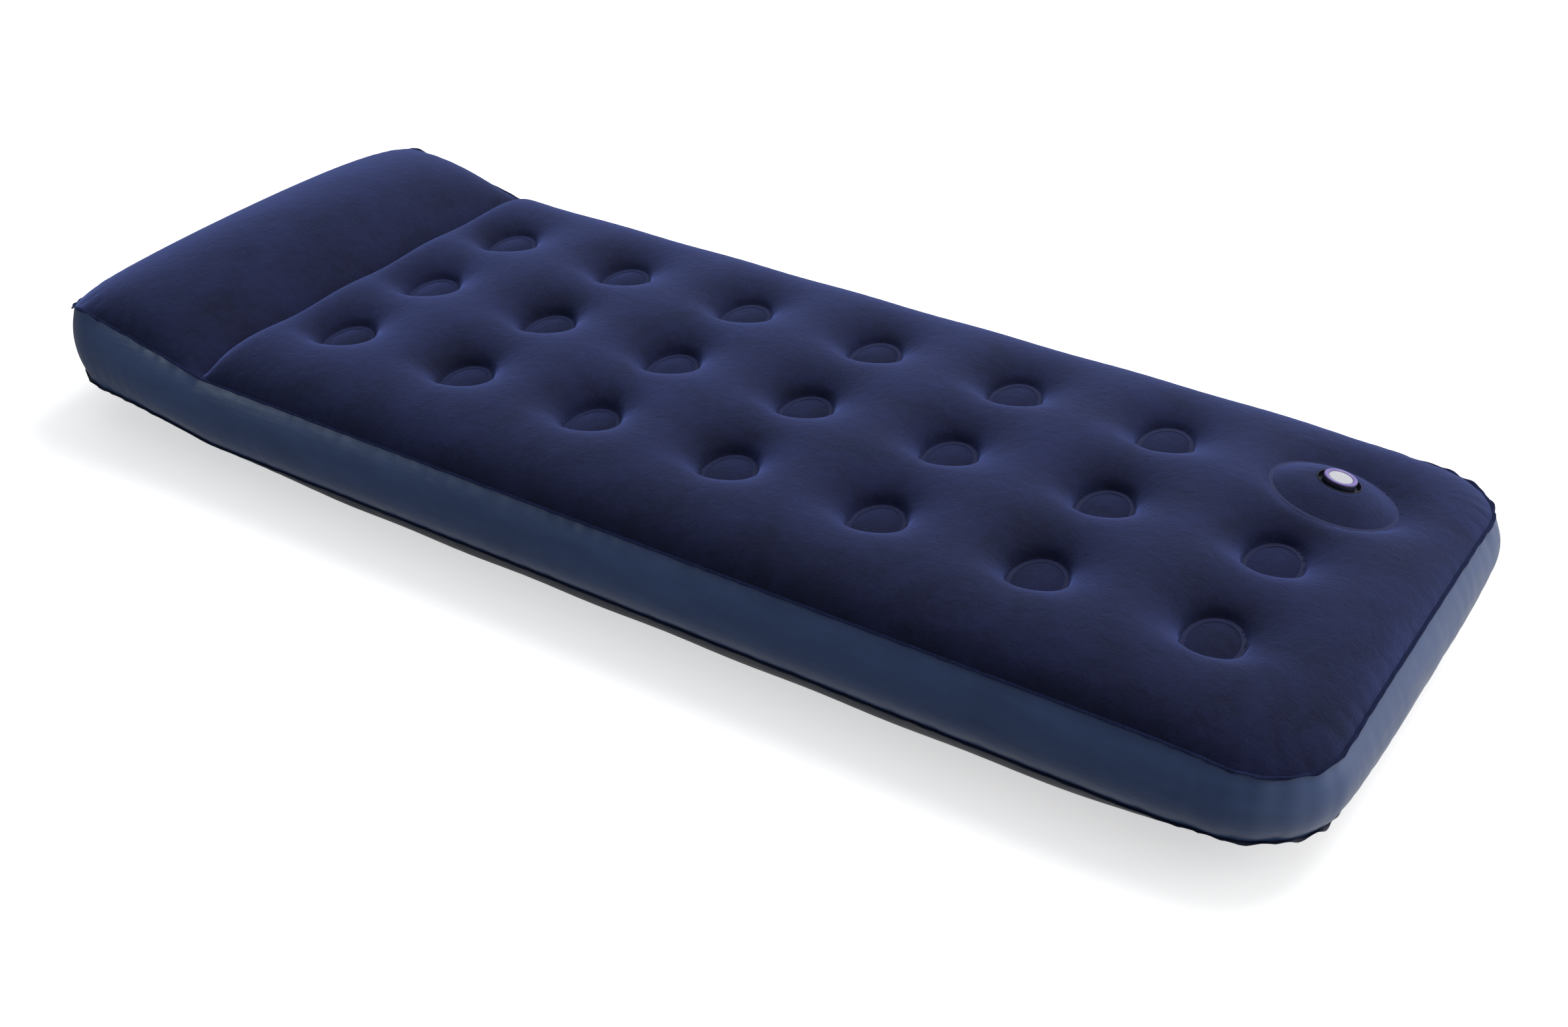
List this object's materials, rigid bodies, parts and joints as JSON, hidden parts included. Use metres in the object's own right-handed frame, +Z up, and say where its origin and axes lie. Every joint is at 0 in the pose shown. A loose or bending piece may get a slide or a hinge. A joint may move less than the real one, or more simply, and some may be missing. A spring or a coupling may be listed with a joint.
{
  "type": "air mattress",
  "caption": "Single flocked air mattress with a raised built-in pillow, coil dimples, a foot pump set in a foot corner and a screw valve on the side band.",
  "frame": {"origin": "bottom centre of the whole part's box, on the floor that the mattress lies on", "axes": "+X along the bed from the pillow to the foot pump end, +Y to the long side nearer the pump, +Z up"},
  "size_m": [1.85, 0.7182, 0.2268],
  "materials": {
    "flocked_sheet": "short velvety flock on vinyl, dark navy",
    "band_vinyl": "semi-gloss vinyl, slate blue",
    "underside_vinyl": "semi-gloss vinyl, dark navy",
    "inner_vinyl": "milky vinyl",
    "pump_foam": "open-cell foam",
    "navy_plastic": "moulded, satin",
    "lilac_plastic": "moulded, smooth",
    "pale_grey_plastic": "moulded, satin",
    "black_rubber": "soft rubber"
  },
  "bodies": {
    "bed": {"main_top_sheet": "flocked_sheet", "pillow_panel": "flocked_sheet", "side_band": "band_vinyl", "bottom_sheet": "underside_vinyl", "upper_seam_flange": "flocked_sheet", "lower_seam_flange": "underside_vinyl", "crease_weld": "flocked_sheet", "pillow_baffle": "inner_vinyl", "coil_01": "inner_vinyl", "coil_02": "inner_vinyl", "coil_03": "inner_vinyl", "coil_04": "inner_vinyl", "coil_05": "inner_vinyl", "coil_06": "inner_vinyl", "coil_07": "inner_vinyl", "coil_08": "inner_vinyl", "coil_09": "inner_vinyl", "coil_10": "inner_vinyl", "coil_11": "inner_vinyl", "coil_12": "inner_vinyl", "coil_13": "inner_vinyl", "coil_14": "inner_vinyl", "coil_15": "inner_vinyl", "coil_16": "inner_vinyl", "coil_17": "inner_vinyl", "coil_18": "inner_vinyl", "coil_19": "inner_vinyl", "coil_20": "inner_vinyl", "pump_cup": "inner_vinyl", "pump_foam": "pump_foam", "pump_dome": "flocked_sheet", "pump_weld_ring": "flocked_sheet", "outlet_seat": "navy_plastic", "valve_flange": "navy_plastic"},
    "pump_press": {"intake_collar": "navy_plastic"},
    "pump_plug": {"intake_plug": "navy_plastic", "plug_rim_ring": "lilac_plastic", "plug_centre_disc": "pale_grey_plastic"},
    "pump_outlet_flap": {"outlet_flap": "black_rubber"},
    "valve_seal": {"valve_gasket": "black_rubber"},
    "valve_screw": {"valve_screw_body": "navy_plastic"},
    "valve_lid": {"valve_cap": "navy_plastic"},
    "valve_flap": {"valve_check_flap": "inner_vinyl"}
  },
  "joints": [
    {"name": "pump_stroke", "type": "slide", "parent": "bed", "child": "pump_press", "axis": [-0.147, -0.147, -0.9781], "range_m": [0, 0.04], "stiffness_N_per_m": 3000, "deforming": ["pump_dome", "pump_foam"]},
    {"name": "plug_pull", "type": "slide", "parent": "pump_press", "child": "pump_plug", "axis": [0.147, 0.147, 0.9781], "range_m": [0, 0.03]},
    {"name": "outlet_flap_swing", "type": "hinge", "parent": "bed", "child": "pump_outlet_flap", "pos_m": [0.71689, 0.13424, 0.07173], "axis": [-0.0109, 0.9891, -0.147], "range_deg": [0, 35], "stiffness_Nm_per_rad": 0.01},
    {"name": "valve_travel", "type": "slide", "parent": "bed", "child": "valve_seal", "axis": [0, 1, 0], "range_m": [0, 0.0091]},
    {"name": "valve_turn", "type": "hinge", "parent": "valve_seal", "child": "valve_screw", "pos_m": [-0.4, 0.34085, 0.095], "axis": [0, 1, 0], "range_deg": [0, 1080]},
    {"name": "valve_lid_open", "type": "hinge", "parent": "valve_screw", "child": "valve_lid", "pos_m": [-0.3814, 0.35645, 0.095], "axis": [0, 0, -1], "range_deg": [0, 110]},
    {"name": "valve_flap_swing", "type": "hinge", "parent": "valve_screw", "child": "valve_flap", "pos_m": [-0.4, 0.32555, 0.1055], "axis": [-1, 0, 0], "range_deg": [0, 40]}
  ],
  "couplings": [
    {"joint": "valve_travel", "follows": "valve_turn", "m_per_rad": 0.000477}
  ]
}
